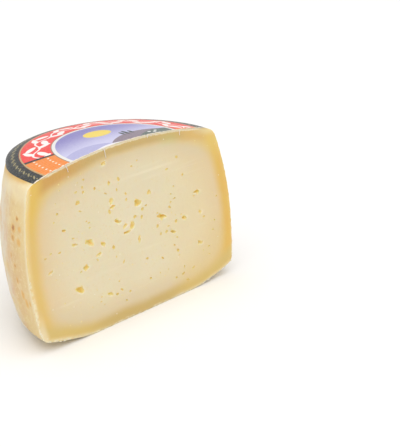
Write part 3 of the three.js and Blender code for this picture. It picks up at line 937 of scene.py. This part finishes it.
def apply_modifiers(piece):
    graph = bpy.context.evaluated_depsgraph_get()
    mesh = bpy.data.meshes.new_from_object(piece.evaluated_get(graph))
    old = piece.data
    piece.modifiers.clear()
    piece.data = mesh
    bpy.data.meshes.remove(old)


def place_of(mesh):
    points = np.zeros(len(mesh.vertices) * 3)
    mesh.vertices.foreach_get("co", points)
    return points.reshape(-1, 3) / MM


def rind_distances(points):
    """Distances of the face's points to the side, the top and the underside"""
    height = points[:, 2] + UNDERSIDE
    reach = np.abs(points[:, 0] + MIDDLE_ACROSS + LEAN * height)
    v = np.clip(height / SIDE_HALF_HEIGHT, -1, 1)
    side = WHEEL_RADIUS - SIDE_TAPER * v - SIDE_BULGE * v * v - reach
    top_share = np.minimum(reach / (WHEEL_RADIUS - SIDE_TAPER - SIDE_BULGE), 1)
    low_share = np.minimum(reach / (WHEEL_RADIUS + SIDE_TAPER - SIDE_BULGE), 1)
    top = SIDE_HALF_HEIGHT + TOP_DOME * (1 - top_share ** 2) - height
    drop = np.minimum(BOTTOM_DOME * (1 - low_share ** 2), BOTTOM_DOME - PRESSED_FLAT)
    return np.stack([side, top, height + SIDE_HALF_HEIGHT + drop], -1)


def write_attributes(cheese):
    """What the materials read: distances to the rind, depth in an eye and the painted highlight on the lips
    beside the eyes
    """
    mesh = cheese.data
    points = place_of(mesh)
    distances = rind_distances(points)
    depth = np.clip(points[:, 1] - CUT_Y - FACE_SETBACK, 0, None)
    lip_painted_highlight = np.where(points[:, 1] < CUT_Y + FACE_SETBACK + 0.2, eye_lips(points[:, 0], points[:, 2]), 0)
    for name, kind, key, values in (
        ("to_rind", "FLOAT_VECTOR", "vector", distances),
        ("eye_depth", "FLOAT", "value", depth),
        ("lip_painted_highlight", "FLOAT", "value", lip_painted_highlight),
    ):
        attribute = mesh.attributes.new(name, kind, "POINT")
        attribute.data.foreach_set(key, np.ascontiguousarray(values, np.float32).ravel())
    mesh.set_sharp_from_angle(angle=math.radians(SHARP_ANGLE))


def top_height(x, y):
    """Height of the top above points of the wheel's own frame"""
    height = np.full(np.shape(x), SIDE_HALF_HEIGHT + TOP_DOME)
    shares = np.linspace(0, 1, TOP_SAMPLES)
    top_u, top_v = on_superellipse(shares, np.ones(TOP_SAMPLES))
    side_u, side_v = on_superellipse(np.ones(TOP_SAMPLES), shares[::-1])
    u = np.concatenate([top_u, side_u[1:]])
    v = np.concatenate([top_v, side_v[1:]])
    reaches = u * (WHEEL_RADIUS - SIDE_TAPER * v - SIDE_BULGE * v * v)
    heights = SIDE_HALF_HEIGHT * v + TOP_DOME * (1 - u * u) * v
    insets = u * v ** SOFT_SHOULDER["fade"]
    inset = 0.0
    for _ in range(TOP_PASSES):
        reach = np.hypot(x + LEAN * height, y / DEPTH_RATIO)
        turn = np.arctan2(y / DEPTH_RATIO, x + LEAN * height)
        inset = drawn_in(turn) * np.interp(reach + inset, reaches, insets)
        height = np.interp(reach + inset, reaches, heights)
    return height


def label_mesh(paper):
    """The label as rays from the middle of its cut edge, its lower face first. print_place says where
    each point lies on the round label before the paper reaches over the soft shoulder"""
    middle = LABEL_ACROSS - LEAN * (SIDE_HALF_HEIGHT + TOP_DOME)
    turns = np.linspace(0, math.pi, LABEL_RAYS + 1)
    far = LABEL_BEHIND_CUT * np.sin(turns) + np.sqrt(
        LABEL_RADIUS ** 2 - (LABEL_BEHIND_CUT * np.cos(turns)) ** 2
    )
    far += LABEL_EDGE_WAVE * np.array([noise.noise(Vector((t * 9, 0.3, 7.7))) for t in turns])
    shares = np.linspace(0, 1, LABEL_RINGS + 1)[1:]
    x = middle + shares[None] * (far * np.cos(turns))[:, None]
    y = np.maximum(0, shares[None] * (far * np.sin(turns))[:, None])
    x = np.concatenate([[middle], x.ravel()])
    y = np.concatenate([[0.0], y.ravel()])
    z = top_height(x, y)
    place = LABEL_OVERHANG
    over = place["far"] * np.exp(-(((turns - place["at"]) / place["spread"]) ** 2))
    stretch = np.concatenate([[1.0], np.repeat(1 + over / far, LABEL_RINGS)])
    printed = np.stack([x - middle, y - LABEL_BEHIND_CUT, 0 * x], -1)
    x = middle + (x - middle) * stretch
    y = y * stretch
    flat = np.stack([x, y, z], -1)
    wave = sum(rise * noise_at(flat, size, seed) for size, rise, seed in LABEL_WAVES)
    near_cut = np.clip(1 - y / LABEL_CURL["width"], 0, 1)
    lifted = LABEL_CURL["height"] * near_cut * (0.4 + noise_at(flat, 5, 7))
    z = z - UNDERSIDE + LABEL_LIFT + wave * 0.8 + np.maximum(0, lifted)
    ragged = 0.3 * noise_at(flat, 1.1, 8) + 0.15 * noise_at(flat, 4, 9)
    y = y + CUT_Y + (0.15 + ragged) * np.clip(1 - y / 1.2, 0, 1)
    x = x - MIDDLE_ACROSS
    lower = np.stack([x, y, z], -1)
    upper = lower + [0, 0, LABEL_THICKNESS]
    count = len(lower)

    def index(ray, ring):
        return 0 if ring == 0 else 1 + ray * LABEL_RINGS + ring - 1

    faces = []
    for ray in range(LABEL_RAYS):
        faces.append([0, index(ray + 1, 1), index(ray, 1)])
        for ring in range(1, LABEL_RINGS):
            corners = ((ray, ring), (ray + 1, ring), (ray + 1, ring + 1), (ray, ring + 1))
            faces.append([index(*corner) for corner in corners])
    faces += [[i + count for i in reversed(f)] for f in faces]
    edge = [index(0, ring) for ring in range(LABEL_RINGS + 1)]
    edge += [index(ray, LABEL_RINGS) for ray in range(1, LABEL_RAYS + 1)]
    edge += [index(LABEL_RAYS, ring) for ring in range(LABEL_RINGS - 1, 0, -1)]
    for n, a in enumerate(edge):
        b = edge[(n + 1) % len(edge)]
        faces.append([a, b, b + count, a + count])
    piece = mesh_object("label_half", np.concatenate([lower, upper]), faces, [paper])
    piece.data.set_sharp_from_angle(angle=math.radians(PAPER_SHARP_ANGLE))
    attribute = piece.data.attributes.new("print_place", "FLOAT_VECTOR", "POINT")
    attribute.data.foreach_set("vector", np.concatenate([printed, printed]).astype(np.float32).ravel())
    return piece


def edge_height(across):
    """Height of the label's cut edge"""
    return float(top_height(np.array([across + MIDDLE_ACROSS]), np.array([0.0]))[0]) - UNDERSIDE


def shred_mesh(paper):
    """Thin curling strips that hang from the label's cut edge over the face"""
    points, faces = [], []
    for number, (start, end, length, width) in enumerate(SHREDS):
        first = len(points)
        top = edge_height(start) + LABEL_THICKNESS
        for step in range(SHRED_STEPS + 1):
            share = step / SHRED_STEPS
            bend = 0.35 * noise.noise(Vector((share * 1.6, number * 3.1, 0.4))) * min(1, length / 3)
            x = start + (end - start) * share + bend
            z = top - length * max(0, share - 0.08) / 0.92
            y = CUT_Y + 0.35 * (1 - min(1, share / 0.15)) - 0.12 * math.sin(math.pi * share)
            uneven = 1 + 0.25 * noise.noise(Vector((share * 5, number, 2.2)))
            half = width / 2 * (1 - 0.55 * share) * uneven
            for dx, dy in ((-half, 0), (half, 0), (half, SHRED_THICKNESS), (-half, SHRED_THICKNESS)):
                points.append((x + dx, y + dy + 0.3 * dx * math.sin(3 * share), z))
        for step in range(SHRED_STEPS):
            a = first + 4 * step
            for side in range(4):
                b = (side + 1) % 4
                faces.append([a + side, a + b, a + b + 4, a + side + 4])
        faces.append([first, first + 3, first + 2, first + 1])
        last = first + 4 * SHRED_STEPS
        faces.append([last, last + 1, last + 2, last + 3])
    return mesh_object("paper_shreds", points, faces, [paper])


def crumb_mesh(paste):
    """Small flakes that cling to the lower part of the cut's edge"""
    random = random_source(CRUMB_SEED)
    least, most = CRUMB_SIZE
    points, faces = [], []
    for number in range(EDGE_CRUMBS):
        place = next(random)
        if place < CRUMB_SHARES["left"]:
            u, v = -1.0, -1 + 0.9 * next(random) ** 1.5
        elif place < CRUMB_SHARES["left_and_bottom"]:
            u, v = 2 * next(random) - 1, -1.0
        else:
            u, v = 1.0, -1 + 0.6 * next(random) ** 1.5
        u, v = on_superellipse(np.array([u]), np.array([v]))
        x, _, z = wheel(np.abs(u), v, math.pi if u[0] < 0 else 0.0)[0]
        size = least + (most - least) * next(random) ** 3
        shape, shape_faces = torn_ball(1, random, number)
        shape = shape * [size * (0.8 + 1.1 * next(random)), size * 0.35, size * (0.3 + 0.4 * next(random))]
        angle = (math.pi / 2 if abs(u[0]) > 0.98 else 0) + 1.4 * (next(random) - 0.5)
        turned_x, turned_z = turned(shape[:, 0], shape[:, 2], angle)
        inward = 0.7 * next(random) ** 2 - 0.05
        x -= inward * math.copysign(1, u[0]) * (abs(u[0]) > 0.98)
        z = max(z + inward * (v[0] < -0.98), size + 0.1)
        y = CUT_Y + FACE_SETBACK + 0.08
        faces += [[i + len(points) for i in f] for f in shape_faces]
        places = zip(turned_x, shape[:, 1], turned_z)
        points += [(x - MIDDLE_ACROSS + dx, y + dy, z + dz) for dx, dy, dz in places]
    return mesh_object("edge_crumbs", points, faces, [paste])


def make_floor():
    size = FLOOR_HALF_WIDTH
    corners = [(-size, -size, 0), (size, -size, 0), (size, size, 0), (-size, size, 0)]
    m = Material("floor", roughness=0.7, specular=0.2)
    shade = m.mix(m.noise(300, 1), colour("F7F6F4"), colour("FAF9F8"))
    floor = mesh_object("floor", corners, [[0, 1, 2, 3]], [m.finish(shade)])


def make_light():
    """An even sky and a sun as wide as a large part of it, so that the floor is lit alike all over"""
    world = bpy.data.worlds.new("studio")
    world.use_nodes = True
    sky = world.node_tree.nodes["Background"]
    sky.inputs["Color"].default_value = (1, 1, 1, 1)
    sky.inputs["Strength"].default_value = SKY_STRENGTH
    bpy.context.scene.world = world
    data = bpy.data.lights.new("overhead", "SUN")
    data.energy = SUN["strength"]
    data.angle = math.radians(SUN["spread"])
    light = bpy.data.objects.new("overhead", data)
    light.rotation_euler = Vector(SUN["direction"]).to_track_quat("Z", "Y").to_euler()
    bpy.context.scene.collection.objects.link(light)
    bpy.context.scene.view_settings.view_transform = "Standard"
    bpy.context.scene.view_settings.look = "None"


make_camera()
CUT_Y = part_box("cheese")[0].y / MM
outline = on_superellipse(np.ones(OUTLINE_SAMPLES), np.linspace(-1, 1, OUTLINE_SAMPLES))
MIDDLE_ACROSS = (wheel(*outline, 0.0)[:, 0].max() + wheel(*outline, math.pi)[:, 0].min()) / 2
LABEL_X = LABEL_ACROSS - LEAN * (SIDE_HALF_HEIGHT + TOP_DOME) - MIDDLE_ACROSS
LABEL_Y = CUT_Y + LABEL_BEHIND_CUT

cheese_materials = [
    paste_material("cut_cheese"),
    rind_material(),
    # Eye wall golds, partly painted light that offsets the shade in the hollows
    paste_material("eye_walls", ("EDDA99", "F0D37A", "E7C35A")),
    paste_material("small_eye_walls", ("E8D084", "EED587", "EED587")),
]
cheese = cheese_mesh(cheese_materials)
cut_eyes(cheese, cheese_materials)
write_attributes(cheese)
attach(cheese, "root")
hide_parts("cheese")

label = label_mesh(label_material())
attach(label, "root")
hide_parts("label")

shreds = shred_mesh(plain_material("bare_paper", "F7F1E8", "EADBCB", 3))
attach(shreds, "root")

crumbs = crumb_mesh(plain_material("dry_crumb", "F8F2DF", "EEE0BC", 2))
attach(crumbs, "root")

make_floor()
make_light()
